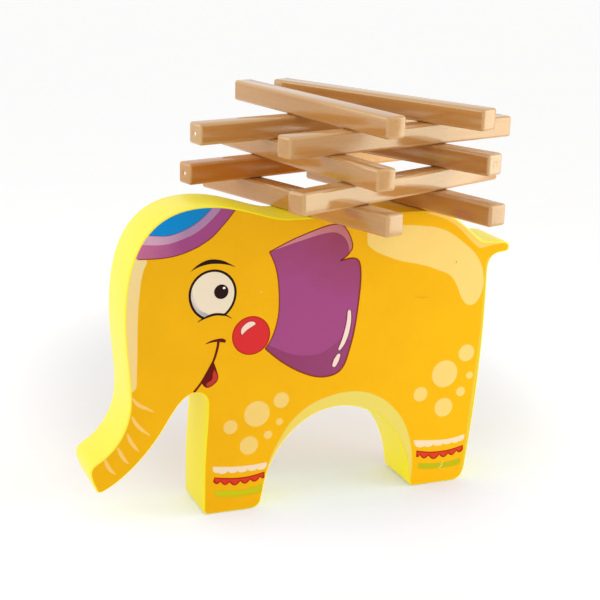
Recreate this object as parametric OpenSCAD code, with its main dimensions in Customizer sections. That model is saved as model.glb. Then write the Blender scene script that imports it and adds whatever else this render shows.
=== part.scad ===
// Elephant balance game: a flat wooden elephant that stands on its two feet,
// and ten loose square sticks laid criss-cross on its back, two to a layer.
// Millimetres. +X runs from trunk to tail, -Y is the front face, +Z is up.

/* [Elephant] */
// Length from the tip of the trunk to the tip of the tail
elephant_length = 144.9; // [120:0.1:170]
// Thickness of the wooden slab
slab_thickness = 20; // [14:0.5:26]
// Width of the bevel that eases the edge round both faces
edge_bevel = 0.5; // [0.5:0.1:1]

/* [Printed facings] */
// Thickness of the printed film on each face
film_thickness = 0.15; // [0.1:0.05:0.4]
// How far the film's rim stays back from the bevel
film_setback = 0; // [0:0.05:0.5]

/* [Sticks] */
// Width and height of a stick
stick_width = 7; // [5:0.5:8]
// Length of a stick
stick_length = 92; // [80:1:100]
// Radius of the eased edges of a stick
stick_edge = 0.6; // [0.2:0.1:1.5]

/* [Smoothness] */
// Straight steps in each long stretch of the outline
long_steps = 10; // [6:1:14]
// Straight steps in each rounded corner of the outline
corner_steps = 5; // [3:1:8]

/* [Hidden] */
LAYERS = 5;
SIDES = ["a", "b"];
STICKS = [for (layer = [1:LAYERS], side = SIDES) str("stick_", layer, side)];

// The outline is drawn at this length, and scaled from it
drawn_length = 144.9;
drawing_scale = elephant_length / drawn_length;
// Heights in the drawing: the soles, and the flat of the back where the first sticks lie
drawn_sole = -0.65;
drawn_back = 96.5;
back_height = drawing_scale * (drawn_back - drawn_sole);
// Belly arch in the drawing: the middle and the half axes of an ellipse
arch_middle = [11.5, -1];
arch_half = [27, 32.8];
arch_from = 171;
arch_to = 5;

// Where the middle of the slab stands, so that the whole set is centred
slab_place = [-1.5, -8];
// Each stick's middle from the middle of the slab, and its turn from +X,
// in the order of laying
LAID = [
    [-0.9, 1.8, -71.2], [37.8, 6.1, -73.6],
    [26.5, -17.2, 23], [11.1, 29.6, 14.6],
    [1, 2.7, -78.5], [36, 13.9, -66.3],
    [30.5, -8, 14.5], [12.4, 21.7, 13.7],
    [8.4, 11.4, -79.4], [33.4, 15.5, -65.2]
];

// Points along a cubic curve with two handles, without its last point
function curve(a, b, c, d, steps) = [
    for (i = [0:steps - 1])
        let (t = i / steps, s = 1 - t)
            s * s * s * a + 3 * s * s * t * b + 3 * s * t * t * c + t * t * t * d
];

// Points along the belly arch, from the front leg to the rear leg
function arch_curve(steps) = [
    for (i = [0:steps - 1])
        let (turn = arch_from + (arch_to - arch_from) * i / steps)
            arch_middle + [arch_half.x * cos(turn), arch_half.y * sin(turn)]
];
arch_end = arch_middle + [arch_half.x * cos(arch_to), arch_half.y * sin(arch_to)];

trunk_underside = concat(
    curve([-68.8, 12.1], [-63, 14.4], [-55, 21.5], [-49.5, 29.8], long_steps),
    curve([-49.5, 29.8], [-46.5, 34.3], [-43, 41.7], [-38.4, 41.7], long_steps),
    curve([-38.4, 41.7], [-36, 41.7], [-34.3, 40.3], [-34.3, 37.8], corner_steps)
);
front_leg = concat(
    curve([-34.3, 37.8], [-34.3, 30], [-35.5, 20], [-35.5, 12], corner_steps),
    curve([-35.5, 1.2], [-35.5, 0.2], [-34.7, drawn_sole], [-33.7, drawn_sole], corner_steps),
    curve([-20, drawn_sole], [-17.2, drawn_sole], [-15.8, 0.4], [-15.3, 2.8], corner_steps)
);
belly_arch = arch_curve(3 * long_steps);
rear_leg = concat(
    curve(arch_end, [38.5, 0.2], [39.4, drawn_sole], [40.4, drawn_sole], corner_steps),
    curve([54.6, drawn_sole], [58, drawn_sole], [59.4, 1], [59.9, 4.4], corner_steps),
    curve([59.9, 4.4], [62.8, 26], [64.6, 48], [64.4, 74], long_steps)
);
tail = concat(
    curve([64.4, 74], [64.4, 79], [66.5, 80.2], [70.6, 80.3], long_steps),
    curve([70.6, 80.3], [72.85, 80.4], [72.85, 83.7], [70.4, 83.8], 2 * corner_steps),
    curve([70.4, 83.8], [67.4, 84.6], [64.2, 83.8], [61.6, 84.8], long_steps)
);
back_and_head = concat(
    curve([61.6, 84.8], [58.9, 86.1], [51, drawn_back], [40, drawn_back], long_steps),
    curve([-8, drawn_back], [-14, drawn_back], [-24, 102.1], [-35, 102.1], long_steps),
    curve([-35, 102.1], [-50, 102.1], [-61.1, 94], [-61.1, 67], 2 * long_steps)
);
trunk_front = concat(
    curve([-61.1, 67], [-61.1, 57], [-59.6, 50], [-59.6, 42], long_steps),
    curve([-59.6, 42], [-59.6, 33], [-64, 25.6], [-70.8, 21.9], long_steps)
);
trunk_tip = concat(
    curve([-70.8, 21.9], [-72.6, 20.9], [-73, 19.2], [-72.4, 17], corner_steps),
    curve([-72.4, 17], [-71.8, 15], [-71.3, 14.1], [-70.9, 13], corner_steps),
    curve([-70.9, 13], [-70.6, 12.1], [-69.7, 11.8], [-68.8, 12.1], corner_steps)
);

drawn_outline = concat(
    trunk_underside, front_leg, belly_arch, rear_leg,
    tail, back_and_head, trunk_front, trunk_tip
);
// The whole outline on its soles, anticlockwise as seen from the front
outline = [for (p = drawn_outline) drawing_scale * (p - [0, drawn_sole])];
outline_count = len(outline);

function outward(a, b) = let (along = (b - a) / norm(b - a)) [along.y, -along.x];

// The outline moved inwards by a distance, with mitred corners
function inset(points, distance) = [
    for (i = [0:len(points) - 1])
        let (
            count = len(points),
            before = outward(points[(i + count - 1) % count], points[i]),
            after = outward(points[i], points[(i + 1) % count])
        )
            points[i] - distance * (before + after) / (1 + before * after)
];

half_slab = slab_thickness / 2;
// How far the cutter that bevels an edge stands proud of the faces it cuts
cutter_proud = 0.3;
// Corners of the cutter's section: [inset from the outline, distance from the mid plane]
CUTTER = [
    [edge_bevel + cutter_proud, half_slab + cutter_proud],
    [-cutter_proud, half_slab + cutter_proud],
    [-cutter_proud, half_slab - edge_bevel - cutter_proud]
];

module at_slab() {
    translate([slab_place.x, slab_place.y, 0])
        children();
}

// A three-sided ring that follows the outline and bevels the edge of the rear face
module edge_cutter() {
    corners = len(CUTTER);
    points = [
        for (corner = CUTTER)
            for (p = inset(outline, corner[0]))
                [p.x, corner[1], p.y]
    ];
    sides = [
        for (c = [0:corners - 1], i = [0:outline_count - 1])
            let (
                next = (i + 1) % outline_count,
                near = c * outline_count,
                far = ((c + 1) % corners) * outline_count
            )
                [near + i, far + i, far + next, near + next]
    ];
    polyhedron(points, sides, convexity = 6);
}

// The sawn slab with the edges of both faces bevelled
module slab() {
    difference() {
        rotate([90, 0, 0])
            linear_extrude(slab_thickness, center = true)
                polygon(outline);
        edge_cutter();
        mirror([0, 1, 0])
            edge_cutter();
    }
}

// One printed film, standing off the mid plane on the given side
module film(side) {
    across = half_slab + film_thickness / 2;
    translate([0, side * across, 0])
        rotate([90, 0, 0])
            linear_extrude(film_thickness, center = true)
                polygon(inset(outline, edge_bevel + film_setback));
}

module eased_rectangle(width, height) {
    square([width - 2 * stick_edge, height], center = true);
    square([width, height - 2 * stick_edge], center = true);
    for (x = [-1, 1], y = [-1, 1])
        translate([x * (width / 2 - stick_edge), y * (height / 2 - stick_edge)])
            circle(stick_edge, $fn = 32);
}

// A square stick along X with all its edges eased
module stick_blank() {
    intersection() {
        linear_extrude(stick_width, center = true)
            eased_rectangle(stick_length, stick_width);
        rotate([90, 0, 0])
            linear_extrude(stick_width, center = true)
                eased_rectangle(stick_length, stick_width);
        rotate([90, 0, 90])
            linear_extrude(stick_length, center = true)
                eased_rectangle(stick_width, stick_width);
    }
}

module elephant() {
    color("#ffe93c")
        at_slab()
            slab();
}

module front_print() {
    color("#f2b414")
        at_slab()
            film(-1);
}

module rear_print() {
    color("#f2b414")
        at_slab()
            film(1);
}

// One stick where it lies, counted from 0 in the order of laying
module stick(number) {
    laid = LAID[number];
    layer = floor(number / len(SIDES));
    height = back_height + (layer + 0.5) * stick_width;
    color("#dcb07a")
        at_slab()
            translate([drawing_scale * laid.x, drawing_scale * laid.y, height])
                rotate([0, 0, laid.z])
                    stick_blank();
}

elephant();
front_print();
rear_print();
for (number = [0:len(STICKS) - 1])
    stick(number);
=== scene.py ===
# %% [markdown]
# # Elephant balance game
# A flat wooden elephant stands on its two feet, and ten loose sticks lie
# criss-cross on its back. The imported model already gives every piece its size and
# place. This lesson adds what the eye sees: sanded edges, lemon paint, a printed
# picture and lacquered wood.

import math

import bmesh
import bpy
import numpy as np
from mathutils import Color, Matrix, Vector
from mathutils.geometry import interpolate_bezier


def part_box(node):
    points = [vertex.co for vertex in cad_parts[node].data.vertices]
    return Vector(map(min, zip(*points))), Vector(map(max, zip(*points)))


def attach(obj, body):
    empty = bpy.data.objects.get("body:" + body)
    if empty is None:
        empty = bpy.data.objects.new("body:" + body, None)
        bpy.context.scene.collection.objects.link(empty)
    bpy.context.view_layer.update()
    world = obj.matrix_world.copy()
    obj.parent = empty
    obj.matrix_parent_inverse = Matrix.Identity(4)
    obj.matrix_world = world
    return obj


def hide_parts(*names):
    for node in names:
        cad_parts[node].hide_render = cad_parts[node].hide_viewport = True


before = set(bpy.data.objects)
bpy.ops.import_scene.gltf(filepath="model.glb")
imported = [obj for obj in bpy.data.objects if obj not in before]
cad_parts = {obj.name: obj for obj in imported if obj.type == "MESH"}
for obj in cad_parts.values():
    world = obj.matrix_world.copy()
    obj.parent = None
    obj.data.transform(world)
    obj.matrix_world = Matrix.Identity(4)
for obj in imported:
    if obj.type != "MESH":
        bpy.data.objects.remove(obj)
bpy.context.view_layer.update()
MM = 0.001
scene = bpy.context.scene
scene.view_settings.view_transform = "Standard"

# %% [markdown]
# ## Camera
# The toy was photographed from in front of its trunk, a little above the sticks, with
# a long lens. A camera could be aimed by three angles, but a track quaternion turns a
# direction straight into a level rotation. The picture leans a little, so one more turn
# about the camera's own axis is added.

# %% Place the camera
EYE = Vector((-0.170275, -0.425363, 0.196252))
GAZE = Vector((0.361497, 0.890750, -0.275470))
LEAN = math.radians(1.40)
LENS = 85.74
NEAREST_SEEN = 0.01

camera = bpy.data.objects.new("camera", bpy.data.cameras.new("camera"))
camera.data.lens = LENS
camera.data.clip_start = NEAREST_SEEN
camera.rotation_mode = "QUATERNION"
camera.location = EYE
level = GAZE.to_track_quat("-Z", "Y")
camera.rotation_quaternion = level @ Matrix.Rotation(LEAN, 3, "Z").to_quaternion()
scene.collection.objects.link(camera)
scene.camera = camera
print("camera", [round(c, 3) for c in camera.location])

# %% [markdown]
# ## Nodes in one line each
# A finish is a graph of shader nodes. Making and linking each node by hand takes many
# lines, so these helpers make a node, plug its sockets and hand back what it gives. A
# colour is written as a painter's hex code and becomes the linear light that Blender
# works in.

# %% Colours and nodes
def colour(code):
    """Scene colour of a painter's hex code."""
    red, green, blue = (int(code[i:i + 2], 16) / 255 for i in (1, 3, 5))
    return (*Color((red, green, blue)).from_srgb_to_scene_linear(), 1)


def new_finish(name):
    """A material with its node tree and its main shader."""
    finish = bpy.data.materials.new(name)
    finish.use_nodes = True
    return finish, finish.node_tree, finish.node_tree.nodes["Principled BSDF"]


def plug(tree, socket, value):
    """A socket takes either a link from another node or a plain value."""
    if isinstance(value, bpy.types.NodeSocket):
        tree.links.new(value, socket)
    else:
        socket.default_value = value


def node(tree, kind, settings=None, **sockets):
    """A new node with its settings made and its sockets plugged."""
    made = tree.nodes.new("ShaderNode" + kind)
    for key, value in (settings or {}).items():
        setattr(made, key, value)
    for key, value in sockets.items():
        plug(tree, made.inputs[key], value)
    return made


print("helpers for nodes ready")

# %% [markdown]
# ## Patterns and masks
# Paint, ink and wood vary from place to place. A noise gives the variation, and a Map
# Range node turns it into a shade, a roughness or a mask. Coordinates are taken in
# millimetres, so that the scale of a noise is its changes per millimetre, and a
# stretch along one axis makes streaks.

# %% Patterns and masks
# A noise stays between these two on nearly all of a surface
NOISE_LOW, NOISE_HIGH = 0.3, 0.7
# The Mix node has sockets for several kinds of value under the same names, so the ones
# for colours are picked by number
MIX_FACTOR, MIX_FIRST, MIX_SECOND, MIXED = 0, 6, 7, 2


def maths(tree, operation, *values, kind="Math", output=0):
    made = node(tree, kind, {"operation": operation})
    for socket, value in zip(made.inputs, values):
        plug(tree, socket, value)
    return made.outputs[output]


def vector_maths(tree, operation, *values, output="Vector"):
    return maths(tree, operation, *values, kind="VectorMath", output=output)


def blend(tree, factor, first, second):
    """A colour between two others."""
    made = node(tree, "Mix", {"data_type": "RGBA"})
    plug(tree, made.inputs[MIX_FACTOR], factor)
    plug(tree, made.inputs[MIX_FIRST], first)
    plug(tree, made.inputs[MIX_SECOND], second)
    return made.outputs[MIXED]


def in_millimetres(tree, vector, stretch=(1, 1, 1)):
    """Coordinates in millimetres, times a stretch for each axis."""
    scale = [s / MM for s in stretch]
    return node(tree, "Mapping", Vector=vector, Scale=scale).outputs[0]


def noise(tree, vector, scale=1.0, detail=2.0, roughness=0.5):
    made = node(tree, "TexNoise", Vector=vector, Scale=scale, Detail=detail,
                Roughness=roughness)
    return made.outputs["Fac"]


def remap(tree, value, low, high, to_low, to_high, soft=False):
    """A value that runs from low to high, made to run from to_low to to_high."""
    made = node(tree, "MapRange", Value=value)
    made.interpolation_type = "SMOOTHSTEP" if soft else "LINEAR"
    for key, number in zip(("From Min", "From Max", "To Min", "To Max"),
                           (low, high, to_low, to_high)):
        made.inputs[key].default_value = number
    return made.outputs[0]


def spread(tree, value, to_low, to_high):
    """A noise made to run from to_low to to_high."""
    return remap(tree, value, NOISE_LOW, NOISE_HIGH, to_low, to_high)


def fade(tree, value, nothing, full):
    """A mask that is 0 at one value and beyond, and 1 at another and beyond."""
    return remap(tree, value, nothing, full, 0, 1)


print("helpers for patterns ready")

# %% [markdown]
# ## Floor
# The toy stands on a white sheet that runs out of the picture. Stronger lamps would
# whiten it, but would bleach the toy too. So the sheet glows a little for rays from
# the camera, a mirror or a glass, and bounced light meets only a pale sheet. The glow
# starts some way off, which leaves the toy's soft shadow. A second, cool glow before
# the feet takes back some of the yellow that the toy throws there.

# %% Floor sheet
WHITE_GLOW = 0.21
WHITE_STARTS, WHITE_FULL = 0.085, 0.175
BEHIND = Vector((0.034, 0.087, 0))
BEHIND_STRETCH = Vector((1.37, 1, 1))
COOL_GLOW = Color((0, 0.075, 0.21))
IN_FRONT = Vector((0, -0.03, 0))
FRONT_STRETCH = Vector((12.5, 25, 1))
FRONT_REACH = 1.8
SHEET_CLOUD = 0.01
SHEET_ROUGHNESS = 0.9
FLOOR_HALF = 6


def distance_from(tree, place, stretch):
    """Distance on the floor from a place, with each axis stretched."""
    here = node(tree, "Mapping", Vector=node(tree, "TexCoord").outputs["Object"], Scale=stretch)
    return vector_maths(tree, "DISTANCE", here.outputs[0], place * stretch, output="Value")


def camera_sees(tree):
    """1 for rays from the camera, a mirror or a glass, and 0 for bounced light."""
    path = node(tree, "LightPath")
    return maths(tree, "MAXIMUM", path.outputs["Is Camera Ray"],
                 maths(tree, "MAXIMUM", path.outputs["Is Glossy Ray"],
                       path.outputs["Is Transmission Ray"]))


def pale_sheet():
    finish, tree, shader = new_finish("pale_sheet")
    position = in_millimetres(tree, node(tree, "TexCoord").outputs["Object"])
    looked_at = camera_sees(tree)
    cloud = noise(tree, position, SHEET_CLOUD)
    sheet = blend(tree, cloud, colour("#EAEAEB"), colour("#EDECEA"))
    sheet = blend(tree, looked_at, colour("#F8F8F8"), sheet)
    plug(tree, shader.inputs["Base Color"], sheet)
    shader.inputs["Roughness"].default_value = SHEET_ROUGHNESS
    far = distance_from(tree, BEHIND, BEHIND_STRETCH)
    white = remap(tree, far, WHITE_STARTS, WHITE_FULL, 0, WHITE_GLOW, soft=True)
    near = distance_from(tree, IN_FRONT, FRONT_STRETCH)
    in_reach = remap(tree, near, 0, FRONT_REACH, 1, 0, soft=True)
    cool = vector_maths(tree, "MULTIPLY", COOL_GLOW, in_reach)
    plug(tree, shader.inputs["Emission Color"], vector_maths(tree, "ADD", cool, white))
    plug(tree, shader.inputs["Emission Strength"], looked_at)
    return finish


bm = bmesh.new()
bmesh.ops.create_grid(bm, x_segments=1, y_segments=1, size=FLOOR_HALF)
floor_mesh = bpy.data.meshes.new("floor")
bm.to_mesh(floor_mesh)
bm.free()
floor_mesh.materials.append(pale_sheet())
floor = bpy.data.objects.new("floor", floor_mesh)
scene.collection.objects.link(floor)
print("floor", 2 * FLOOR_HALF, "m square")

# %% [markdown]
# ## Light
# A white tent lights the toy softly from all sides: that is the world, at nearly full
# white. Two softboxes give it form: the right one brightens the ends of the sticks and
# the face towards the tail, the left one the edge of the trunk. A lamp's energy is
# worked out from the brightness of its sheet, so a box can change size and keep it.

# %% White tent and softboxes
TENT_LIGHT = 0.89
TENT_SEEN = 1.0
SOFTBOXES = {
    # name: (place of its middle, width and height, brightness of its sheet)
    "right_box": ((0.315, -0.1435, 0.14), (0.22, 0.28), 2.35),
    "left_box": ((-0.38, 0.10, 0.26), (0.40, 0.30), 1.1),
}

world = bpy.data.worlds.new("white_tent")
scene.world = world
world.use_nodes = True
tent = world.node_tree
background = tent.nodes["Background"]
background.inputs["Color"].default_value = (1, 1, 1, 1)
tent_strength = remap(tent, camera_sees(tent), 0, 1, TENT_LIGHT, TENT_SEEN)
plug(tent, background.inputs["Strength"], tent_strength)

for name, (place, (width, height), brightness) in SOFTBOXES.items():
    lamp = bpy.data.lights.new(name, "AREA")
    lamp.shape = "RECTANGLE"
    lamp.size, lamp.size_y = width, height
    lamp.energy = brightness * math.pi * width * height
    box = bpy.data.objects.new(name, lamp)
    box.location = place
    outward = Vector((place[0], place[1], 0))
    box.rotation_euler = outward.to_track_quat("Z", "Y").to_euler()
    box.visible_camera = False
    scene.collection.objects.link(box)
print("tent and", len(SOFTBOXES), "softboxes")

# %% [markdown]
# ## From a mesh to a piece
# Every piece ends the same way: the bmesh becomes an object at the origin, rides on a
# body of the frame, and names the finish that it takes. Shading is smooth over a
# rounded edge and sharp beside a large flat face, which then stays truly flat.

# %% Finish a piece
# A face with more corners than this is one of the slab's two flat faces
MANY_CORNERS = 50


def make_piece(name, bm, finishes, body):
    mesh = bpy.data.meshes.new(name)
    bm.to_mesh(mesh)
    bm.free()
    for finish in finishes:
        mesh.materials.append(finish)
    piece = bpy.data.objects.new(name, mesh)
    scene.collection.objects.link(piece)
    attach(piece, body)
    return piece


def shade_smooth(bm, sharp_from):
    """Smooth shading, but sharp edges from an angle in degrees and round large flat faces."""
    for face in bm.faces:
        face.smooth = True
    for edge in bm.edges:
        beside_flat = any(len(face.verts) > MANY_CORNERS for face in edge.link_faces)
        bent = edge.calc_face_angle(0) >= math.radians(sharp_from)
        edge.smooth = not (beside_flat or bent)


print("helpers for pieces ready")

# %% [markdown]
# ## The outline
# The board was sawn to an outline that the CAD model already holds, so it is read from
# there. A cut through the middle of a flat node leaves a ring of edges, and a walk
# along the ring gives its points in order. The cut is made on a merged copy, because
# the node's own mesh must stay as it is.

# %% Read an outline
SAME_PLACE = 1e-6
NEARLY_STRAIGHT = math.radians(0.2)


def outline_of(node_name):
    """Loop of points round the middle of a flat CAD node, in order."""
    bm = bmesh.new()
    bm.from_mesh(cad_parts[node_name].data)
    bmesh.ops.remove_doubles(bm, verts=bm.verts, dist=SAME_PLACE)
    low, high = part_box(node_name)
    bmesh.ops.bisect_plane(bm, geom=bm.verts[:] + bm.edges[:] + bm.faces[:],
                           plane_co=(low + high) / 2, plane_no=(0, 1, 0),
                           clear_inner=True, clear_outer=True)
    bmesh.ops.dissolve_limit(bm, angle_limit=NEARLY_STRAIGHT, verts=bm.verts,
                             edges=bm.edges)
    here = min(bm.verts, key=lambda v: v.co.x)
    edge = here.link_edges[0]
    loop = []
    for _ in range(len(bm.verts)):
        loop.append(here.co.copy())
        here = edge.other_vert(here)
        edge = next(e for e in here.link_edges if e != edge)
    bm.free()
    return loop


slab_outline = outline_of("elephant")
print("slab outline:", len(slab_outline), "points")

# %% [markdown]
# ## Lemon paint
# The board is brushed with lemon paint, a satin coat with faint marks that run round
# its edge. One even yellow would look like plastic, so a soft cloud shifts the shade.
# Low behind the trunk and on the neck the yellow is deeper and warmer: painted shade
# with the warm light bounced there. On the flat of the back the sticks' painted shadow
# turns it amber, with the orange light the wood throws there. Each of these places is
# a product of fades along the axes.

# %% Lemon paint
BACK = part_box("stick_1a")[0].z / MM
# Places in mm between which a fade goes from nothing to full
# The painted shadow of the sticks, with their orange bounce light, lies on the flat of the back
# between these places
STICK_SHADOW_ABOVE = (BACK - 0.9, BACK - 0.5)
STICK_SHADOW_BELOW = (BACK + 0.8, BACK + 0.3)
STICK_SHADOW_BEHIND_HEAD = (-2, 16)
# Painted shade and warm bounce light deepen the yellow low behind the trunk and on the neck
SHADE_BEHIND_TRUNK = (-42, -39)
SHADE_BELOW_CHIN = (60, 40)
NECK_SHADE_BEHIND = (-42, -30)
NECK_SHADE_ABOVE = (94, 96)
PAINT_CLOUD = 0.05
BRUSH_MARKS = (0.3, 2.5, 0.3)
# How strong a bump is, and how deep in metres
BRUSH_BUMP = (0.15, 0.1 * MM)
PAINT_ROUGHNESS = (0.28, 0.42)
PAINT_GLOSS = 0.16


def set_surface(tree, shader, relief, roughness, bump, gloss):
    """Roughness and bump that follow a noise, and an even gloss."""
    strength, depth = bump
    plug(tree, shader.inputs["Roughness"], spread(tree, relief, *roughness))
    raised = node(tree, "Bump", Height=relief, Strength=strength, Distance=depth)
    plug(tree, shader.inputs["Normal"], raised.outputs[0])
    shader.inputs["Specular IOR Level"].default_value = gloss


def lemon_paint():
    finish, tree, shader = new_finish("lemon_paint")
    place = node(tree, "TexCoord").outputs["Object"]
    position = in_millimetres(tree, place)
    axes = node(tree, "SeparateXYZ", Vector=position).outputs
    cloud = noise(tree, position, PAINT_CLOUD, detail=3)
    coat = blend(tree, cloud, colour("#FFEF40"), colour("#FFF355"))
    # Painted shade: a deeper, warmer yellow low behind the trunk and on the neck, for the shade and
    # warm bounce light there
    hollow = maths(tree, "MULTIPLY", fade(tree, axes["X"], *SHADE_BEHIND_TRUNK),
                   fade(tree, axes["Z"], *SHADE_BELOW_CHIN))
    neck_shade = maths(tree, "MULTIPLY", fade(tree, axes["X"], *NECK_SHADE_BEHIND),
                 fade(tree, axes["Z"], *NECK_SHADE_ABOVE))
    coat = blend(tree, maths(tree, "MAXIMUM", hollow, neck_shade), coat, colour("#FFF126"))
    # Painted shadow: the flat of the back under the sticks turns amber, for their shadow and the
    # orange light the wood throws there
    on_back = maths(tree, "MULTIPLY", fade(tree, axes["Z"], *STICK_SHADOW_ABOVE),
                    fade(tree, axes["Z"], *STICK_SHADOW_BELOW))
    painted_stick_shadow = maths(tree, "MULTIPLY", on_back, fade(tree, axes["X"], *STICK_SHADOW_BEHIND_HEAD))
    plug(tree, shader.inputs["Base Color"], blend(tree, painted_stick_shadow, coat, colour("#FFC60C")))
    brushed = noise(tree, in_millimetres(tree, place, BRUSH_MARKS), detail=4)
    set_surface(tree, shader, brushed, PAINT_ROUGHNESS, BRUSH_BUMP, PAINT_GLOSS)
    return finish


lemon = lemon_paint()
print("made", lemon.name, "with the back at", round(BACK, 2), "mm")

# %% [markdown]
# ## The elephant's slab
# The body is one thick board, sawn to the outline and sanded round its edges. A
# Solidify modifier could thicken a flat face, but extruding the face through the board
# keeps both rims at hand, and a bevel with several segments then gives them the
# sanded round.

# %% Slab
EDGE_ROUND = 0.5 * MM
EDGE_SEGMENTS = 5
SLAB_SHARP_FROM = 25


def extrude_along_y(bm, face, distance):
    grown = bmesh.ops.extrude_face_region(bm, geom=[face])
    moved = [v for v in grown["geom"] if isinstance(v, bmesh.types.BMVert)]
    bmesh.ops.translate(bm, verts=moved, vec=(0, distance, 0))


def round_off(bm, geom, offset, segments, affect="EDGES"):
    """A bevel with a round profile."""
    bmesh.ops.bevel(bm, geom=geom, offset=offset, offset_type="OFFSET", segments=segments,
                    profile=0.5, affect=affect, material=-1)


low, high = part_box("elephant")
bm = bmesh.new()
front = bm.faces.new([bm.verts.new((p.x, low.y, p.z)) for p in slab_outline])
extrude_along_y(bm, front, high.y - low.y)
bmesh.ops.recalc_face_normals(bm, faces=bm.faces)
rims = [e for e in bm.edges if abs(e.verts[0].co.y - e.verts[1].co.y) < SAME_PLACE]
round_off(bm, rims, EDGE_ROUND, EDGE_SEGMENTS)
shade_smooth(bm, SLAB_SHARP_FROM)
slab = make_piece("elephant_slab", bm, [lemon], "elephant")
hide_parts("elephant")
print("slab faces:", len(slab.data.polygons))

# %% [markdown]
# ## Printing inks
# The picture is printed on a thin film on each flat face, in smooth inks. A printed
# colour is nearly even, but not quite: it runs from one shade to another across the
# picture, with a faint cloud and a fine grain, and the wood's pores show through as a
# very shallow bump. On the amber ground the run is painted light: darker at the upper
# left and brighter towards the lower right, where the right softbox and the floor light
# the face. The film's cut edge is bright yellow, so the amber of its ground takes a
# third colour, for faces that look to a side.

# %% Ink finish
# The drawing's origin in the frame, in mm: all points of the picture are counted from it
DRAWING_ORIGIN = Vector((-1.5, 0.65))
INK_CLOUD = 0.09
CLOUD_SHIFT = 0.18
INK_GRAIN = 5.0
GRAIN_VALUE = (0.965, 1.025)
# How squarely a face must look forward to count as the flat of the film
CUT_EDGE, FLAT_FACE = 0.4, 0.6
PORES = (0.12, 1, 1.6)
PORE_BUMP = (0.12, 0.1 * MM)
INK_ROUGHNESS = (0.3, 0.4)
INK_GLOSS = 0.08


def on_face(x, z):
    """Millimetres in the drawing of the face to a place in the frame."""
    return Vector(((x + DRAWING_ORIGIN.x) * MM, 0, (z + DRAWING_ORIGIN.y) * MM))


def way_along(tree, place, start, end):
    """0 at one point of the drawing and 1 at another, and beyond on either side."""
    run = on_face(*end) - on_face(*start)
    from_start = vector_maths(tree, "SUBTRACT", place, on_face(*start))
    return vector_maths(tree, "DOT_PRODUCT", from_start, run / run.length_squared, output="Value")


def printed_ink(name, first, second, start=(-60, 0), end=(60, 0), cut=None):
    """Ink that runs from one colour to another, with a third for its cut edge."""
    finish, tree, shader = new_finish(name)
    place = node(tree, "TexCoord").outputs["Object"]
    position = in_millimetres(tree, place)
    cloud = noise(tree, position, INK_CLOUD, detail=3)
    drift = maths(tree, "ADD", way_along(tree, place, start, end),
                  spread(tree, cloud, -CLOUD_SHIFT, CLOUD_SHIFT))
    shade = blend(tree, fade(tree, drift, 0, 1), colour(first), colour(second))
    value = spread(tree, noise(tree, position, INK_GRAIN), *GRAIN_VALUE)
    toned = node(tree, "HueSaturation", Value=value, Color=shade).outputs[0]
    if cut:
        facing = node(tree, "SeparateXYZ", Vector=node(tree, "TexCoord").outputs["Normal"])
        forward = maths(tree, "ABSOLUTE", facing.outputs["Y"])
        toned = blend(tree, fade(tree, forward, CUT_EDGE, FLAT_FACE), colour(cut), toned)
    plug(tree, shader.inputs["Base Color"], toned)
    pores = noise(tree, in_millimetres(tree, place, PORES), detail=3)
    set_surface(tree, shader, pores, INK_ROUGHNESS, PORE_BUMP, INK_GLOSS)
    return finish


print("ink finish ready")

# %% [markdown]
# ## The printer's colours
# Each ink has two shades, and where it matters the two points of the drawing between
# which it runs from one to the other. They are kept in one table, as a printer keeps a
# swatch card, and a loop makes the materials. The two films of the CAD model have the
# right shape, so they stay and only take the amber ink.

# %% Inks
SHADES = {
    # ink: (first shade, second shade, start and end of the run, colour of the cut edge)
    # The amber ground's run from darker at the upper left to brighter at the lower right is painted
    # light
    "amber": ("#EEB00B", "#FABC0C", (-50, 85), (40, 0), "#FFE440"),
    "purple": ("#A44C83", "#9A4664", (2, 72), (10, 90)),
    "deep_purple": ("#934069", "#964674", (-8, 50), (14, 50)),
    "stroke_shade": ("#743058", "#743050"),
    "ear_rim": ("#CE8896", "#C27678", (-10, 88), (12, 91)),
    "lilac": ("#D2A4B8", "#AC82A6", (-54, 92), (-41, 95)),
    "cap_purple": ("#C26C92", "#9F4A80", (-57, 89), (-42, 90)),
    "blue": ("#0A8AD0", "#0C82C0", (-52, 95), (-36, 100)),
    "blue_line": ("#4A68A0", "#5A6298", (-52, 95), (-36, 100)),
    "cream": ("#F1CC72", "#FAD678"),
    "wrinkle": ("#F9CA70", "#FBCB6C"),
    "pale_cream": ("#F2D896", "#F6D388", (-57, 84), (-58, 54)),
    "rim_cream": ("#FBCB60", "#FBCF64"),
    "edge_yellow": ("#E9CA38", "#EBCC3C"),
    "crescent": ("#F1D664", "#EBD868", (-8, 22), (18, 36)),
    "white": ("#F6D8CA", "#F8DDCE"),
    "glint": ("#FFFAF4", "#FFFCF8"),
    "anklet_white": ("#F2DDC0", "#FFE1B8"),
    "eye_white": ("#F0E0C4", "#EDDEC2", (-40, 74), (-26, 74)),
    "eye_shade": ("#DCCFC4", "#D8CFC8"),
    "eye_deep_shade": ("#CCBCB2", "#B0ACB4", (-38.5, 69.6), (-35.5, 67.5)),
    "red": ("#DA3032", "#D93034"),
    "anklet_red": ("#DE3928", "#E04028"),
    "tongue": ("#BE3832", "#C8382C", (-35, 44), (-31, 47)),
    "brick": ("#B02C0E", "#AC2E0C"),
    "red_brown": ("#8E3820", "#863414"),
    "maroon": ("#64120C", "#6C140E"),
    "dark": ("#26100C", "#2A1210"),
    "green": ("#CACB14", "#BDBD17", (-20, 6), (46, 6)),
    "faint_green": ("#DDBD12", "#D9B814"),
    "scratch": ("#E6DC7C", "#E8DC78"),
    "scuff": ("#DDA012", "#D9980E"),
}
INKS = {ink: printed_ink(ink + "_ink", *shades) for ink, shades in SHADES.items()}
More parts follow.
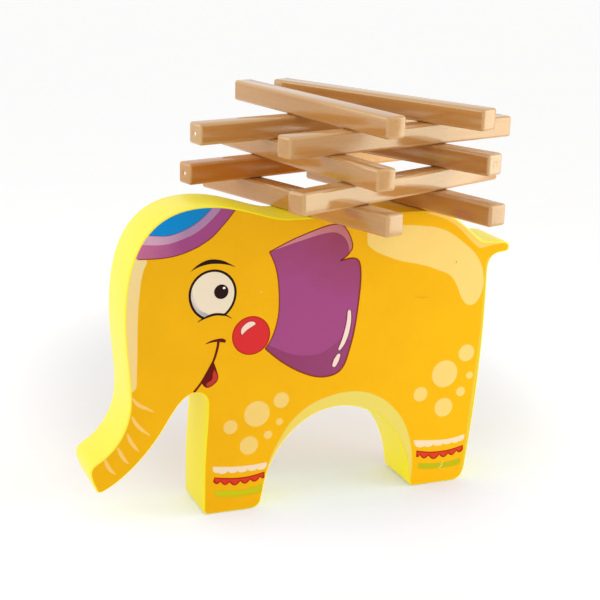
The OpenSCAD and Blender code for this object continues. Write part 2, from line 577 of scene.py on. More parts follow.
for film in ("front_print", "rear_print"):
    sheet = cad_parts[film].data
    sheet.materials.clear()
    sheet.materials.append(INKS["amber"])
print(len(INKS), "inks")

# %% [markdown]
# ## Drawing with a few points
# A shape of the picture is a closed line through a few points, and a brush stroke is a
# line with a width at each point. A polygon with many points could trace any shape,
# but a few points with Bezier curves between them stay smooth and are easy to move.

# %% Lines and shapes
LEAST_WIDTH = 0.02
# A handle reaches one of so many parts of the way between a point's two neighbours
HANDLE_PARTS = 6


def through(*points, steps=6):
    """Smooth open line through the points, as Vectors."""
    knots = [Vector(p) for p in points]
    line = []
    for i in range(len(knots) - 1):
        before, after = knots[max(i - 1, 0)], knots[min(i + 2, len(knots) - 1)]
        line += interpolate_bezier(
            knots[i], knots[i] + (knots[i + 1] - before) / HANDLE_PARTS,
            knots[i + 1] - (after - knots[i]) / HANDLE_PARTS, knots[i + 1], steps + 1)[:-1]
    return line + [knots[-1]]


def patch(*points):
    """Closed shape that runs smoothly through the points, with a corner at the first."""
    return through(*points, points[0])[:-1]


def disc(centre, radius, start=0, end=360, steps=48):
    """Points of a circle, or of an arc from start to end in degrees."""
    turns = np.radians(np.linspace(start, end, steps, endpoint=end - start < 360))
    return [Vector(centre) + radius * Vector((math.cos(t), math.sin(t))) for t in turns]


def oval(centre, across, up, down, start=0, end=360):
    """Points of an oval that may reach further below its middle than above."""
    return [Vector(centre) + Vector((across * p.x, (up if p.y > 0 else down) * p.y))
            for p in disc((0, 0), 1, start, end)]


def ribbon(line, widths):
    """Outline of a stroke along a line, with widths spread evenly over its length."""
    wide = np.interp(np.linspace(0, len(widths) - 1, len(line)), range(len(widths)), widths)
    sides = [], []
    for i, (p, width) in enumerate(zip(line, wide)):
        along = (line[min(i + 1, len(line) - 1)] - line[max(i - 1, 0)]).normalized()
        across = Vector((-along.y, along.x)) * max(width, LEAST_WIDTH) / 2
        sides[0].append(p + across)
        sides[1].append(p - across)
    return sides[0] + sides[1][::-1]


def brush(points, widths):
    """Stroke along a smooth line, with a width at each point."""
    return ribbon(through(*points), widths)


print("helpers for drawing ready")

# %% [markdown]
# ## Up to the edge of the film
# Some shapes of the picture run off the board, such as the cap and the crescent over
# the belly arch. They could be cut with a Boolean, but it is simpler to draw only
# their inner line, a little too long, and to close it along the film's own edge.

# %% The film's edge
EDGE_GAP = 0.3


def fine(loop, gap):
    """The same closed line with points no further apart than the gap."""
    return [a.lerp(b, i / count) for a, b in zip(loop, loop[1:] + loop[:1])
            for count in [math.ceil((b - a).length / gap)] for i in range(count)]


FILM_EDGE = fine([p.xz / MM - DRAWING_ORIGIN for p in outline_of("front_print")], EDGE_GAP)


def on_film(p):
    """Whether a point of the drawing lies on the film, by counting crossings."""
    crossed = [a.y + (b.y - a.y) * (p.x - a.x) / (b.x - a.x) > p.y
               for a, b in zip(FILM_EDGE, FILM_EDGE[1:] + FILM_EDGE[:1])
               if (a.x > p.x) != (b.x > p.x)]
    return sum(crossed) % 2 == 1


def within_film(line):
    return [p for p in line if on_film(p)]


def to_edge(line):
    """Closes a line that starts and ends at the film's edge along that edge."""
    kept = within_film(line)
    count = len(FILM_EDGE)
    last, first = (min(range(count), key=lambda i: (FILM_EDGE[i] - p).length)
                   for p in (kept[-1], kept[0]))
    ahead = (first - last) % count
    way = range(ahead + 1) if ahead < count / 2 else range(0, ahead - count - 1, -1)
    return kept + [FILM_EDGE[(last + i) % count] for i in way]


print("film edge:", len(FILM_EDGE), "points")

# %% [markdown]
# ## Coats of ink
# A printer lays one colour over another. Here each shape is a thin closed plate on the
# film, and a later coat stands a little higher, so that it covers the one below. The
# picture could be a texture, but plates keep sharp edges at any distance. The rear
# face carries the same picture, mirrored through the middle of the board.

# %% Print a motif on both faces
COAT = 0.015 * MM
FRONT_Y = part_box("front_print")[0].y
MID_Y = (FRONT_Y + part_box("rear_print")[1].y) / 2


def print_motif(name, coats):
    """Plates of ink on both faces: each coat is (ink, layer, outline)."""
    bm = bmesh.new()
    names = list(dict.fromkeys(ink for ink, _, _ in coats))
    for ink, layer, outline in coats:
        ring = [bm.verts.new(on_face(*p) + Vector((0, FRONT_Y, 0))) for p in outline]
        face = bm.faces.new(ring)
        face.material_index = names.index(ink)
        extrude_along_y(bm, face, -layer * COAT)
        sides = {f for v in ring for f in v.link_faces}
        for f in sides:
            f.material_index = names.index(ink)
    bmesh.ops.recalc_face_normals(bm, faces=bm.faces)
    finishes = [INKS[ink] for ink in names]
    rear = bm.copy()
    make_piece("front_" + name, bm, finishes, "elephant")
    bmesh.ops.translate(rear, verts=rear.verts, vec=(0, -MID_Y, 0))
    bmesh.ops.scale(rear, verts=rear.verts, vec=(1, -1, 1))
    bmesh.ops.translate(rear, verts=rear.verts, vec=(0, MID_Y, 0))
    bmesh.ops.recalc_face_normals(rear, faces=rear.faces)
    make_piece("rear_" + name, rear, finishes, "elephant")
    print(name, "in", ", ".join(names))


print("front film at", round(FRONT_Y / MM, 2), "mm")

# %% [markdown]
# ## Cap and forehead
# The cap is three bands that run off the top of the head: blue over lilac over purple,
# with fine dark lines along two of them. Each band is drawn by its lower line and
# closed along the edge, and the upper bands simply cover the lower ones. A pale cream
# strip lights the forehead from the cap down to the trunk.

# %% Cap and forehead
CAP_LINE = 0.3

blue_edge = through(
    (-54.5, 94.3), (-50, 93.8), (-48, 93.7), (-46, 93.9), (-43, 94.8), (-40, 96.1), (-38, 97.3),
    (-36, 98.9), (-34.5, 100.3), (-32.6, 102.2))
lilac_edge = through(
    (-56.6, 91.5), (-52, 91), (-49, 90.95), (-46, 91.3), (-42, 92.5), (-39, 93.7), (-36, 95.6),
    (-34, 97.3), (-32, 99.2), (-29.4, 102.2))
purple_edge = through(
    (-59, 87), (-54, 86.75), (-50, 86.7), (-46, 87), (-42, 87.9), (-38, 89.4), (-36, 90.5),
    (-34, 91.7), (-32, 93.4), (-30, 95.5), (-28, 97.7), (-25, 101.4))
print_motif("cap", [
    ("cap_purple", 1, to_edge(purple_edge)),
    ("lilac", 2, to_edge(lilac_edge)),
    ("blue", 3, to_edge(blue_edge)),
    ("red_brown", 4, ribbon(within_film(purple_edge), [CAP_LINE])),
    ("blue_line", 4, ribbon(within_film(blue_edge), [CAP_LINE])),
])
strip_edge = through(
    (-59, 87), (-54.2, 86.6), (-55.2, 83), (-55.9, 80), (-56.4, 76), (-56.8, 72), (-57.1, 66),
    (-57.2, 60), (-57.3, 55), (-57.5, 50), (-57.8, 45.6), (-60, 44))
print_motif("forehead", [("pale_cream", 1, to_edge(strip_edge))])

# %% [markdown]
# ## Brow and eye
# The eye is a dark oval with a white one inside it, both cut off below by the lid. Two
# grey crescents shade the white at its lower left, and the pupil with its glint goes
# on top. The ovals reach further down than up, so each has a half axis for either. The
# brow is two smooth lines that meet in points.

# %% Brow and eye
EYE_MIDDLE = (-32.9, 74.1)
# Half axes across, up and down, and the arc in degrees that the lid leaves open
EYE_RIM, RIM_ARC = (7.9, 7.9, 8.7), (-57, 244)
EYE_BALL, BALL_ARC = (7.1, 7.1, 7.9), (-60, 247)
SHADE_ARC, DEEP_SHADE_ARC = (160, 247), (192, 247)
PUPIL, PUPIL_RADIUS = (-30.1, 74.6), 2.35
GLINT, GLINT_SIZE = (-29.2, 75.75), (0.47, 0.36, 0.36)
LID = [(-37.9, 65.3), (-36.3, 66.15), (-34, 67.05), (-31.8, 67.4), (-29.5, 67.1), (-28.2, 66.65),
       (-26.5, 65.5)]
LID_WIDTHS = [0.05, 0.4, 0.75, 0.75, 0.75, 0.4, 0.05]

under_lid = [Vector(p) for p in LID[2:5]]
brow_top = through(
    (-40.3, 81.6), (-38.5, 83.3), (-36, 84.7), (-33.3, 85.25), (-30, 84.7), (-27.5, 83.5),
    (-25.4, 82.2))
brow_bottom = through(
    (-25.4, 82.2), (-28, 83.1), (-31, 83.65), (-34, 83.75), (-37, 83.2), (-39, 82.4), (-40.3, 81.6))
shade_edge = through((-34, 67.4), (-35.6, 68.3), (-37.3, 69.8), (-38.7, 72), (-39.4, 74.2))
deep_shade_edge = through((-34.2, 67.3), (-35.2, 68.15), (-36.9, 68.9), (-38.4, 70.2), (-39.5, 72))
print_motif("brow", [("dark", 1, brow_top + brow_bottom[1:-1])])
print_motif("eye", [
    ("dark", 1, oval(EYE_MIDDLE, *EYE_RIM, *RIM_ARC) + under_lid),
    ("eye_white", 2, oval(EYE_MIDDLE, *EYE_BALL, *BALL_ARC) + under_lid[:-1]),
    ("eye_shade", 3, oval(EYE_MIDDLE, *EYE_BALL, *SHADE_ARC) + shade_edge),
    ("eye_deep_shade", 4, oval(EYE_MIDDLE, *EYE_BALL, *DEEP_SHADE_ARC) + deep_shade_edge),
    ("dark", 5, disc(PUPIL, PUPIL_RADIUS)),
    ("glint", 6, oval(GLINT, *GLINT_SIZE)),
    ("dark", 7, brush(LID, LID_WIDTHS)),
])

# %% [markdown]
# ## Cheek and mouth
# The cheek is a red disc with a brick rim and a pale highlight, which has a thin brick
# line of its own. A highlight in a printed picture is ink like the rest, not gloss.
# The mouth is a maroon opening with a tongue in it, under a smile that is one brush
# stroke from the corner of the mouth down to the trunk.

# %% Cheek and mouth
CHEEK = (-19.95, 59.3)
CHEEK_RADIUS = 6.45
CHEEK_RIM = 0.4

print_motif("cheek", [
    ("brick", 1, disc(CHEEK, CHEEK_RADIUS)),
    ("red", 2, disc(CHEEK, CHEEK_RADIUS - CHEEK_RIM)),
    ("brick", 3, patch(
        (-23.3, 59.4), (-23.7, 61), (-23.2, 62.4), (-21.7, 63.75), (-20.2, 64.2), (-18.8, 63.9),
        (-18.35, 63.1), (-18.8, 62.45), (-20.2, 61.75), (-21.6, 60.9))),
    ("white", 4, patch(
        (-23.1, 59.8), (-23.4, 61), (-23, 62.2), (-21.6, 63.5), (-20.2, 63.95), (-19, 63.7),
        (-18.6, 63.1), (-19, 62.7), (-20.2, 62.05), (-21.6, 61.2))),
])
print_motif("mouth", [
    ("maroon", 1, brush(
        [(-35.2, 57.9), (-33.4, 58.5), (-31.5, 58.75), (-29.8, 58.65), (-28.5, 58.1)],
        [0.15, 0.65, 0.95, 1.3, 0.9])),
    ("maroon", 2, through(
        (-32.5, 51.9), (-31.8, 50), (-31.15, 48), (-30.85, 46.4), (-31.3, 45.1), (-32.4, 44.1),
        (-33.7, 43.4), (-34.8, 43.35), (-35.7, 44), (-36.4, 45.1))),
    ("tongue", 3, patch(
        (-32.3, 49.2), (-31.5, 47.8), (-31.1, 46.5), (-31.5, 45.4), (-32.5, 44.4), (-33.7, 43.75),
        (-34.6, 43.8), (-34.9, 44.5), (-34.1, 45.2), (-33.2, 45.6), (-32.8, 46.5), (-32.7, 47.7))),
    ("maroon", 4, brush(
        [(-30.9, 58.3), (-31.1, 56.8), (-31.6, 54.8), (-32.4, 52.3), (-33.8, 49.8), (-35.3, 47.2),
         (-36.8, 44.8), (-38.9, 42.3)],
        [0.85, 0.8, 0.75, 0.7, 0.6, 0.6, 0.7, 0.7])),
])

# %% [markdown]
# ## Ear
# The ear's outline has four corners, so it is drawn as four smooth lines that meet: the
# top, the notch, the back and the front. A paler rim lies along the top and a deeper
# fold along the bottom, and each shares a stretch of the outline. The lines carry a
# thin dark stroke, and two white strokes with a shaded rim stand for shine.

# %% Ear
ear_top = through(
    (-14.2, 86.3), (-10, 88.2), (-6, 89.9), (-2, 91.3), (2, 92.6), (5, 93.4), (8, 93.8), (10, 93.5),
    (11.5, 92.5), (13, 90.2), (14, 87.8), (14.3, 86.3), (14.1, 85.2))
ear_notch = through((14.1, 85.2), (12.8, 83.5), (11.4, 82.4), (10.3, 81.7))
ear_back = through(
    (10.3, 81.7), (12, 82), (13.5, 82.2), (15, 82.1), (16.3, 81.5), (17.1, 80), (17.5, 77),
    (17.5, 73), (17.2, 69), (16.8, 65), (16.2, 60), (15.3, 55), (13.7, 49), (12.5, 46), (11, 44.2),
    (9, 43.2), (6.5, 42.8), (3.5, 43), (0, 44.1), (-4, 46), (-8, 48.5), (-11, 50.8), (-13.5, 53),
    (-15.1, 54.5))
ear_front = through(
    (-15.1, 54.5), (-13.5, 56.7), (-12.2, 59.5), (-11.3, 62.5), (-10.7, 66), (-10.6, 70),
    (-10.8, 74), (-11.3, 78), (-12.3, 82), (-14.2, 86.3))
ear = ear_top + ear_notch[1:] + ear_back[1:] + ear_front[1:-1]
rim_inner = through(
    (13.2, 84.2), (12.9, 86.2), (12, 88.4), (10.5, 90), (8.5, 91), (6, 91.2), (2, 90.6), (-2, 89.6),
    (-6, 88.6), (-10, 87.5), (-14.2, 86.3))
fold = through(
    (15, 54), (12.5, 55.6), (10, 54.3), (8, 52.8), (5, 51.3), (2, 50.7), (-2, 50.8), (-6, 51.6),
    (-10, 53.5), (-14.2, 55.6))
FOLD_TOP = 54.2
below_fold = [p for p in ear_back if p.y < FOLD_TOP]
SHINE = [
    # points and widths of each stroke
    ([(13.95, 64.75), (13.9, 64.3), (13.85, 61), (13.1, 57), (12, 53.9), (11, 52.1), (10.65, 51.5)],
     [0.3, 1.1, 1.5, 1.65, 1.45, 1.0, 0.4]),
    ([(10.75, 50.1), (10.6, 49.7), (9.8, 48), (9.1, 46.4), (8.9, 45.9)],
     [0.5, 1.2, 1.8, 1.4, 0.6]),
]
SHINE_RIM = 0.7
EAR_LINES = [(ear_top, 0.35), (ear_notch, 0.4), (ear_back, 0.5), (ear_front, 0.35)]
shine_rims = [brush(line, [width + SHINE_RIM for width in widths]) for line, widths in SHINE]
print_motif("ear", [
    ("purple", 1, ear),
    ("ear_rim", 2, ear_top + rim_inner[:-1]),
    ("deep_purple", 2, fold + below_fold[::-1]),
    *(("stroke_shade", 3, rim) for rim in shine_rims),
    *(("white", 4, brush(line, widths)) for line, widths in SHINE),
    *(("red_brown", 4, ribbon(line, [width])) for line, width in EAR_LINES),
])

# %% [markdown]
# ## Rump, spots and belly
# A cream saddle flows over the rump, and a cream rim follows the back down to the
# tail. Thin yellow rims run down the rear leg and round the tip of the tail. The spots
# on both legs are discs in a loop, and the pale crescent over the belly arch is one
# line closed along the arch.

# %% Rump, spots and belly
rump_rim = through(
    (38, 96.6), (41, 95.2), (44, 94.3), (48, 92.75), (52, 90.2), (54, 88.4), (56, 86.4), (58, 84.5),
    (60, 82.75), (61.2, 82.3), (63, 82.6), (66, 83.1), (68.5, 83.3), (70.5, 83.5))
rear_rim = through(
    (64.2, 79), (63.3, 76), (63.15, 70), (63, 62), (62.6, 52), (61.9, 42), (61.2, 34), (60.5, 27),
    (59.9, 20), (59.5, 14), (59.2, 9), (58.9, 5), (58.3, 2.2), (58.6, -0.6))
tail_rim = through((69.4, 84.8), (70.7, 83.2), (71.1, 82.1), (70.8, 81), (69.8, 79.4))
print_motif("rump", [
    ("cream", 1, patch(
        (19.3, 90), (19.6, 86.5), (21, 85), (23, 83.6), (26, 82.2), (30, 80.6), (34, 79.4),
        (38, 78.5), (42, 77.3), (46, 75.7), (48, 74.9), (50, 73.8), (51.5, 72.3), (53, 69.8),
        (54.3, 66.8), (55.5, 64.6), (57, 63.1), (58.7, 62.7), (60.5, 63.4), (61.8, 65.2),
        (62.6, 67.5), (63, 70), (62.7, 73), (62, 76), (60.2, 79.2), (58, 81.8), (56, 83.5),
        (52, 86.6), (48, 89.1), (44, 90.5), (40, 91.2), (34, 91.9), (26, 92), (21, 91.4))),
    ("rim_cream", 1, to_edge(rump_rim)),
    ("edge_yellow", 2, to_edge(rear_rim)),
    ("edge_yellow", 2, to_edge(tail_rim)),
])
SPOTS = [
    # across, up and radius: first those of the front leg, then those of the rear leg
    (-17.6, 32.5, 4.4), (-9.2, 36.3, 2.7), (-9.7, 28.9, 1.2),
    (-13.6, 24.8, 1.45), (-20.2, 21.9, 3.15), (-26.6, 29, 2.4),
    (50.1, 39.1, 4.8), (58, 45.8, 3), (59.7, 37.6, 1.3),
    (56.6, 32, 1.7), (50.3, 27, 3.4), (41.3, 32.7, 2.6),
]
print_motif("spots", [("cream", 1, disc((x, z), radius)) for x, z, radius in SPOTS])
belly = through(
    (-15.4, 6), (-14.3, 11), (-13.4, 14.2), (-12.2, 17.5), (-10.9, 20.2), (-9.3, 23), (-7.6, 25.9),
    (-5.6, 28.4), (-3.4, 30.5), (-1, 32.3), (2, 34), (5, 35.1), (9, 36.1), (13, 36.6), (17, 36.5),
    (20, 36), (23, 35), (26, 33.4), (29, 31.4), (31.5, 28.9), (34, 25.9), (36.2, 22), (37.7, 18),
    (38.7, 14), (39.2, 10), (39.3, 6), (39.15, 3), (38.8, 0.5))
print_motif("belly", [("crescent", 1, to_edge(belly))])

# %% [markdown]
# ## Anklets
# Each foot wears three bands: a white and a red one with scalloped lower edges, and a
# green one. A scallop is one shape again and again, so a lobe is written once, and a
# function hangs one between each pair of valleys. The red band has a dark line all
# round: the whole band is printed in brick first, and a drawn-in one in red over it.

# %% Scalloped bands
# Lobes: (part of the way from one valley to the next, how far down it hangs there)
ROUND_LOBE = ((0.1, 0.55), (0.28, 0.9), (0.5, 1), (0.72, 0.9), (0.9, 0.55))
POINTED_LOBE = ((0.12, 0.42), (0.3, 0.82), (0.5, 1), (0.7, 0.82), (0.88, 0.42))
INNER_LOBE = ((0.2, 0.38), (0.34, 0.78), (0.5, 1), (0.66, 0.78), (0.8, 0.38))
# Depth of a lobe as a part of its width
FRONT_WHITE_DROOP, REAR_WHITE_DROOP, RED_DROOP = 0.23, 0.2, 0.36
DARK_LINE = 0.45


def scalloped(upper, valleys, droop, lobe=ROUND_LOBE):
    """Band under an upper line, with a lobe hanging between each pair of valleys."""
    knots = [Vector(p) for p in valleys]
    lower = []
    for a, b in zip(knots, knots[1:]):
        depth = droop * (b.x - a.x)
        hanging = [a.lerp(b, part) - Vector((0, depth * drop)) for part, drop in lobe]
        lower += through(a, *hanging, b, steps=3)[:-1]
    return through(*upper) + [knots[-1]] + lower[::-1]


def drawn_in(points, rise):
    """A line of the band, raised, with its two ends drawn in by the width of the dark line."""
    first, last = points[0][0] + DARK_LINE, points[-1][0] - DARK_LINE
    return [(min(max(x, first), last), z + rise) for x, z in points]


def thinner(upper, valleys):
    """The same band inside its dark line."""
    return scalloped(drawn_in(upper, -DARK_LINE), drawn_in(valleys, DARK_LINE), RED_DROOP,
                     INNER_LOBE)


print(len(ROUND_LOBE), "points to a lobe")

# %% [markdown]
# ## Printing the anklets
# The bands of the two feet are alike but not the same, so each is drawn on its own. The
# green ones are soft at their edges, so a fainter and wider green lies under each. A
# scratch crosses the green of the rear foot, and is one thin stroke of a paler ink.

# %% Anklets
FRONT_WHITE = scalloped(
    [(-32.5, 16.1), (-30, 15.7), (-27, 15.3), (-23, 15), (-18, 14.95), (-13.9, 15.3)],
    [(-32.4, 14.6), (-30.6, 13.9), (-27.3, 13.9), (-24, 13.6), (-20.5, 13.6), (-17.4, 13.5),
     (-13.9, 13.9)], FRONT_WHITE_DROOP)
REAR_WHITE = scalloped(
    [(39.5, 16.3), (43, 15.85), (47, 15.4), (50, 15.15), (53, 15.15), (56, 15.5), (59.1, 16.1)],
    [(40.3, 14.3), (43.7, 13.8), (47.2, 13.9), (51, 13.8), (54.2, 13.9), (57, 13.9),
     (59, 14.6)], REAR_WHITE_DROOP)
# Upper line and valleys of the red band on the front and on the rear foot
RED_BANDS = [(
    [(-31.9, 12.3), (-29, 11.75), (-25, 11.2), (-21, 11.1), (-18, 11.4), (-14.6, 12.05)],
    [(-32.4, 10.9), (-29.85, 10.5), (-26.75, 9.9), (-23, 9.8), (-19.6, 9.9), (-16.1, 10.4),
     (-14.6, 10)]
), (
    [(40.8, 12.4), (43, 11.85), (46, 11.3), (50, 11.05), (53, 11.15), (56, 11.6), (58.7, 12.15)],
    [(40.8, 10.1), (42.2, 10.5), (45.5, 9.9), (49.7, 9.7), (53.1, 9.75), (56.3, 10.3),
     (58.9, 10.6)]
)]
print_motif("anklets", [
    *(("anklet_white", 1, band) for band in (FRONT_WHITE, REAR_WHITE)),
    *(("brick", 1, scalloped(*band, RED_DROOP, POINTED_LOBE)) for band in RED_BANDS),
    *(("anklet_red", 2, thinner(*band)) for band in RED_BANDS),
    ("faint_green", 1, patch(
        (-31.8, 7.7), (-29, 7.4), (-25, 7), (-21, 6.9), (-17, 7.5), (-15.7, 7.9), (-15.6, 5),
        (-20, 4.3), (-25, 4.2), (-29, 4.7), (-31.6, 5.4))),
    ("green", 2, patch(
        (-31.3, 7.2), (-29, 7), (-25, 6.6), (-21, 6.5), (-17, 7.1), (-16.1, 7.3), (-16.4, 5.5),
        (-20, 5.1), (-25, 5.1), (-29, 5.5), (-31.2, 6))),
    ("faint_green", 1, patch(
        (41.7, 7.6), (44, 7.4), (47, 7), (50, 6.8), (53, 6.8), (56, 7.2), (58.1, 7.5), (57.7, 5.1),
        (55, 4.6), (51, 4.5), (47, 4.6), (43.5, 5), (41.7, 5.6))),
    ("green", 2, patch(
        (42.1, 7.1), (44, 7), (47, 6.6), (50, 6.4), (53, 6.4), (56, 6.8), (57.6, 7), (57.3, 5.6),
        (55, 5.1), (51, 5), (47, 5.1), (43.5, 5.5), (42.1, 6))),
    ("scratch", 3, brush(
        [(51.2, 7.1), (50.9, 6.2), (50.6, 5.4), (49.8, 4.7)],
        [0.2, 0.4, 0.4, 0.2])),
])

# %% [markdown]
# ## Trunk lines and scuffs
# Five pale strokes wrinkle the trunk. Each starts blunt at the edge and runs out thin,
# so they share one list of widths. A faint scuff on the flank and two specks are small
# faults of the print. A clean print would look new, and these hardly show.

# %% Trunk lines and scuffs
WRINKLES = [
    [(-59, 42.5), (-57.8, 40.8), (-56.4, 39.6), (-54.5, 38.6), (-52, 37.1)],
    [(-59.1, 36.4), (-58.3, 34.5), (-57, 32.7), (-55.3, 31), (-53.3, 29.4)],
    [(-60.7, 30.8), (-59.8, 28.4), (-58.5, 26.3), (-57, 24.4)],
    [(-63.9, 26.6), (-63, 24.6), (-61.8, 22.4), (-60.4, 20.7)],
    [(-68, 23.2), (-67.3, 21.2), (-66.2, 19.3), (-64.6, 17.6)],
]
WRINKLE_WIDTHS = [0.5, 1.2, 1.1, 0.2]
SPECK = 0.3
SPECK_STEPS = 12

print_motif("trunk_lines", [("wrinkle", 1, brush(line, WRINKLE_WIDTHS)) for line in WRINKLES])
print_motif("scuffs", [
    ("scuff", 1, brush([(37.4, 67.3), (40.5, 66.9), (42.8, 66.9)], [0.1, 0.25, 0.1])),
    ("scuff", 2, disc((52.2, 78.1), SPECK, steps=SPECK_STEPS)),
    ("wrinkle", 1, disc((-16.8, 73.4), SPECK, steps=SPECK_STEPS)),
])

# %% [markdown]
# ## Where the sticks lie
# Ten square sticks lie criss-cross on the back, two to a layer, each turned its own
# way. Their places are in the CAD model, so nothing is typed in again: the longest
# direction of a node's points, found by a singular value decomposition, is the way
# that its stick lies.

# %% Where the sticks lie
def lie_of(name):
    """A stick's middle, the direction of its length, its length and its width."""
    points = np.array([v.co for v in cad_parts[name].data.vertices])
    low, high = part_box(name)
    axis = np.linalg.svd(points - points.mean(0), full_matrices=False)[2][0]
    axis = Vector(axis if axis[0] > 0 else -axis)
    return (low + high) / 2, axis, float(np.ptp(points @ np.array(axis))), high.z - low.z


sticks = sorted(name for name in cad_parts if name.startswith("stick_"))
stick_length, stick_width = lie_of(sticks[0])[2:]
print(len(sticks), "sticks of", round(stick_length / MM, 1), "mm")

# %% [markdown]
# ## Lacquered wood
# The sticks are a pale, close-grained wood under clear lacquer. Object coordinates
# would run the grain the same way through all of them. So each stick carries
# attributes: own, its coordinates before it was laid; grain, the same moved aside, so
# that no two look alike; one for how deep its wood is, partly its own tone and partly
# painted shade; and one for whether a painted glint lies in its pin mark. Bands,
# streaks and flecks make the grain, and a painted highlight makes every edge paler.
# One stick is duller, and its deep wood turns pale from about halfway along, which is
# painted light from the right softbox, so it has a finish of its own.

# %% Lacquered wood
BROAD_BANDS = (0.02, 0.25, 0.25)
STREAKS = (0.035, 1.3, 1.3)
FLECKS = (0.35, 5, 5)
FLECK_FROM, FLECK_FULL, FLECK_DEPTH = 0.62, 0.75, 0.35
STREAK_BUMP = (0.07, 0.2 * MM)
LACQUER_ROUGHNESS = (0.1, 0.16)
LACQUER_IOR = 1.62
LACQUER_TINT = (0.92, 1.0, 0.75, 1)
# Distances from the middle of a stick between which the painted edge highlight and the pale end set
# in
EDGE_HIGHLIGHT_FROM, EDGE_HIGHLIGHT_FULL = stick_width / 2 - 1.1 * MM, stick_width / 2 - 0.1 * MM
END_FROM, END_FULL = stick_length / 2 - 0.7 * MM, stick_length / 2 - 0.1 * MM
EDGE_HIGHLIGHT, PALE_END = 0.6, 0.35
PIN_EDGE, PIN_FULL = 0.6 * MM, 0.45 * MM
# Where the painted light on the duller stick sets in, along its length
PAINTED_LIT_FROM, PAINTED_LIT_FULL = 4 * MM, 16 * MM


def attribute(tree, name, output="Vector"):
    return node(tree, "Attribute", {"attribute_name": name}).outputs[output]


def grain_colour(tree, streak, along, deep_tone_and_shade, painted_lit_colour):
    """Plain wood with its bands, streaks and flecks, a deeper tone that is partly painted shade,
    and painted light on one stick.
    """
    grain = attribute(tree, "grain")
    broad = noise(tree, in_millimetres(tree, grain, BROAD_BANDS))
    fleck = noise(tree, in_millimetres(tree, grain, FLECKS), detail=1)
    tone = maths(tree, "ADD", spread(tree, broad, 0, 0.5), spread(tree, streak, 0, 0.5))
    plain = blend(tree, tone, colour("#BC8044"), colour("#C89052"))
    # The deeper tone is partly the stick's own wood, partly painted shade and orange bounce light
    plain = blend(tree, attribute(tree, "tone_and_shade", "Fac"), plain, colour(deep_tone_and_shade))
    # Painted light: the duller stick turns pale along its right part, where the right softbox
    # lights it
    if painted_lit_colour:
        painted_lit = fade(tree, along, PAINTED_LIT_FROM, PAINTED_LIT_FULL)
        plain = blend(tree, painted_lit, plain, colour(painted_lit_colour))
    flecked = remap(tree, fleck, FLECK_FROM, FLECK_FULL, 0, FLECK_DEPTH)
    return blend(tree, flecked, plain, colour("#9A6430"))


def edge_highlight_and_pin(tree, wood, along):
    """The wood's colour with a painted highlight along its edges, one end paler and a painted glint
    in the pin's hollow.
    """
    size = vector_maths(tree, "ABSOLUTE", attribute(tree, "own"))
    out = node(tree, "SeparateXYZ", Vector=size).outputs
    long_edge = maths(tree, "MINIMUM", out["Y"], out["Z"])
    beyond = maths(tree, "SUBTRACT", out["X"], (stick_length - stick_width) / 2)
    end_edge = maths(tree, "MINIMUM", maths(tree, "MAXIMUM", out["Y"], out["Z"]), beyond)
    edge = maths(tree, "MAXIMUM", long_edge, end_edge)
    # Painted highlight: every rounded edge is paler, as where light catches the rounding
    wood = blend(tree, remap(tree, edge, EDGE_HIGHLIGHT_FROM, EDGE_HIGHLIGHT_FULL, 0, EDGE_HIGHLIGHT), wood, colour("#DDB078"))
    pale_end = remap(tree, along, -END_FROM, -END_FULL, 0, PALE_END)
    wood = blend(tree, pale_end, wood, colour("#D9B98C"))
    across = vector_maths(tree, "MULTIPLY", size, (0, 1, 1))
    off_axis = vector_maths(tree, "LENGTH", across, output="Value")
    pin = maths(tree, "MULTIPLY", fade(tree, off_axis, PIN_EDGE, PIN_FULL),
                maths(tree, "LESS_THAN", along, -END_FROM))
    # Painted glint: a pale dot on the floor of the pin's hollow
    painted_pin_glint = maths(tree, "MULTIPLY", pin, attribute(tree, "pin_glint", "Fac"))
    return blend(tree, painted_pin_glint, wood, colour("#FBEEE4"))


def lacquered_wood(name, gloss, deep_tone_and_shade, painted_lit_colour=None):
    finish, tree, shader = new_finish(name)
    along = node(tree, "SeparateXYZ", Vector=attribute(tree, "own")).outputs["X"]
    streak = noise(tree, in_millimetres(tree, attribute(tree, "grain"), STREAKS), detail=5,
                   roughness=0.6)
    wood = grain_colour(tree, streak, along, deep_tone_and_shade, painted_lit_colour)
    plug(tree, shader.inputs["Base Color"], edge_highlight_and_pin(tree, wood, along))
    set_surface(tree, shader, streak, LACQUER_ROUGHNESS, STREAK_BUMP, gloss)
    shader.inputs["IOR"].default_value = LACQUER_IOR
    shader.inputs["Specular Tint"].default_value = LACQUER_TINT
    return finish


glossy_wood = lacquered_wood("lacquered_wood", gloss=0.94, deep_tone_and_shade="#A45814")
duller_wood = lacquered_wood("duller_lacquered_wood", gloss=0.4, deep_tone_and_shade="#C47008",
                             painted_lit_colour="#E6AE60")
print("made", glossy_wood.name, "and", duller_wood.name)

# %% [markdown]
# ## A stick
# A stick is a square bar, sanded along every edge. A small hollow in one end looks like
# the mark of a pin that held it when it was dipped. A scaled cube with all its edges
# bevelled gives the bar. The hollow could be cut with a Boolean, but an inset square
# with its corners bevelled is round enough, and three deeper insets hollow it out.

# %% Bar and hollow
STICK_ROUND = 0.95 * MM
ROUND_SEGMENTS = 5
HOLLOW_ACROSS = 1.3 * MM
# Parts of the hollow's width: how much of a side the rounding takes, and each step inwards
HOLLOW_CORNER = 0.48
HOLLOW_STEPS = (0.10, 0.16, 0.16)
FACING_END = 0.999


def bar(length, width):
    """A square bar along X with every edge rounded."""
    bm = bmesh.new()
    bmesh.ops.create_cube(bm, size=1)
    bmesh.ops.scale(bm, verts=bm.verts, vec=(length, width, width))
    round_off(bm, bm.edges[:], STICK_ROUND, ROUND_SEGMENTS)
    return bm


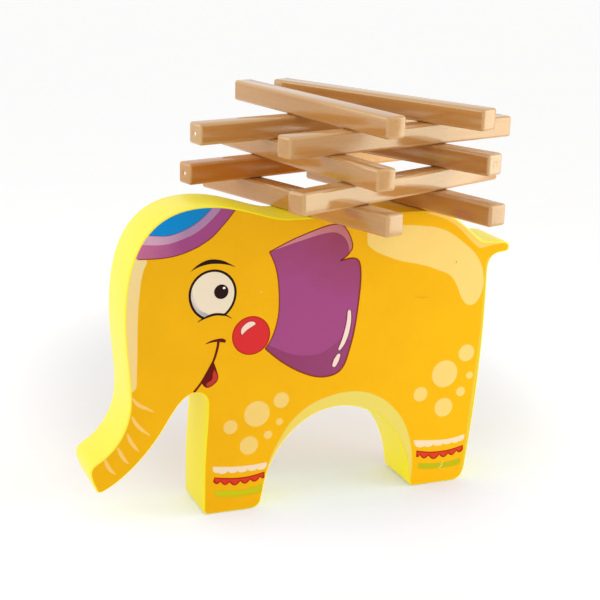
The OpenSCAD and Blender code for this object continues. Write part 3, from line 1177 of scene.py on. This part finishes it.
def hollow_out(bm, deep):
    """The hollow of the pin, in the end that looks towards -X."""
    end = min(bm.faces, key=lambda f: f.normal.x * f.calc_area())
    side = math.sqrt(end.calc_area())
    bmesh.ops.inset_region(bm, faces=[end], thickness=(side - HOLLOW_ACROSS) / 2)
    round_off(bm, end.verts[:], HOLLOW_ACROSS * HOLLOW_CORNER, ROUND_SEGMENTS, "VERTICES")
    hollow = min((f for f in bm.faces if f.normal.x < -FACING_END),
                 key=lambda f: f.calc_center_median().yz.length - len(f.verts))
    for part in HOLLOW_STEPS:
        bmesh.ops.inset_region(bm, faces=[hollow], thickness=HOLLOW_ACROSS * part,
                               depth=-deep / len(HOLLOW_STEPS))


print("bar and hollow ready")

# %% [markdown]
# ## Laying the sticks
# Each stick is made along X, gets its attributes while it lies there, and is then
# turned and moved into its place in the mesh itself, so that its object stays at the
# origin. Three sticks lie the other way round, and their hollows are shallow and have
# no painted glint. A few sticks are of deeper wood, partly with painted shade, and one
# is duller.

# %% Sticks
HOLLOW_DEEP = 0.25 * MM
HOLLOW_SHALLOW = 0.12 * MM
TURNED_ROUND = ("stick_2a", "stick_3b", "stick_4a")
DULLER = ("stick_2b",)
# Partly the sticks' own deeper wood, partly painted shade and orange bounce light on them
DEEPER_WOOD_AND_SHADE = {"stick_1b": 0.3, "stick_2b": 0.7, "stick_3b": 0.3, "stick_4b": 0.1}
GRAIN_MOVE = 31 * MM
STICK_SHARP_FROM = 40


def mark_wood(bm, name, number):
    """Writes the attributes that the wood's finish reads."""
    own = bm.verts.layers.float_vector.new("own")
    grain = bm.verts.layers.float_vector.new("grain")
    tone_and_shade = bm.verts.layers.float.new("tone_and_shade")
    pin_glint = bm.verts.layers.float.new("pin_glint")
    for vert in bm.verts:
        vert[own] = vert.co
        vert[grain] = vert.co + Vector((0, GRAIN_MOVE * number, 0))
        # Deeper tone: partly the stick's own wood, partly painted shade
        vert[tone_and_shade] = DEEPER_WOOD_AND_SHADE.get(name, 0)
        # Whether the painted glint shows in the hollow of the pin
        vert[pin_glint] = 0 if name in TURNED_ROUND else 1


for number, name in enumerate(sticks):
    middle, axis, length, width = lie_of(name)
    bm = bar(length, width)
    hollow_out(bm, HOLLOW_SHALLOW if name in TURNED_ROUND else HOLLOW_DEEP)
    mark_wood(bm, name, number)
    if name in TURNED_ROUND:
        axis = -axis
    turn = Matrix.Rotation(math.atan2(axis.y, axis.x), 4, "Z")
    bmesh.ops.transform(bm, matrix=Matrix.Translation(middle) @ turn, verts=bm.verts)
    shade_smooth(bm, STICK_SHARP_FROM)
    finish = duller_wood if name in DULLER else glossy_wood
    piece = make_piece(name + "_wood", bm, [finish], name)
    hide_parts(name)
    print(name, round(length / MM, 1), "mm")
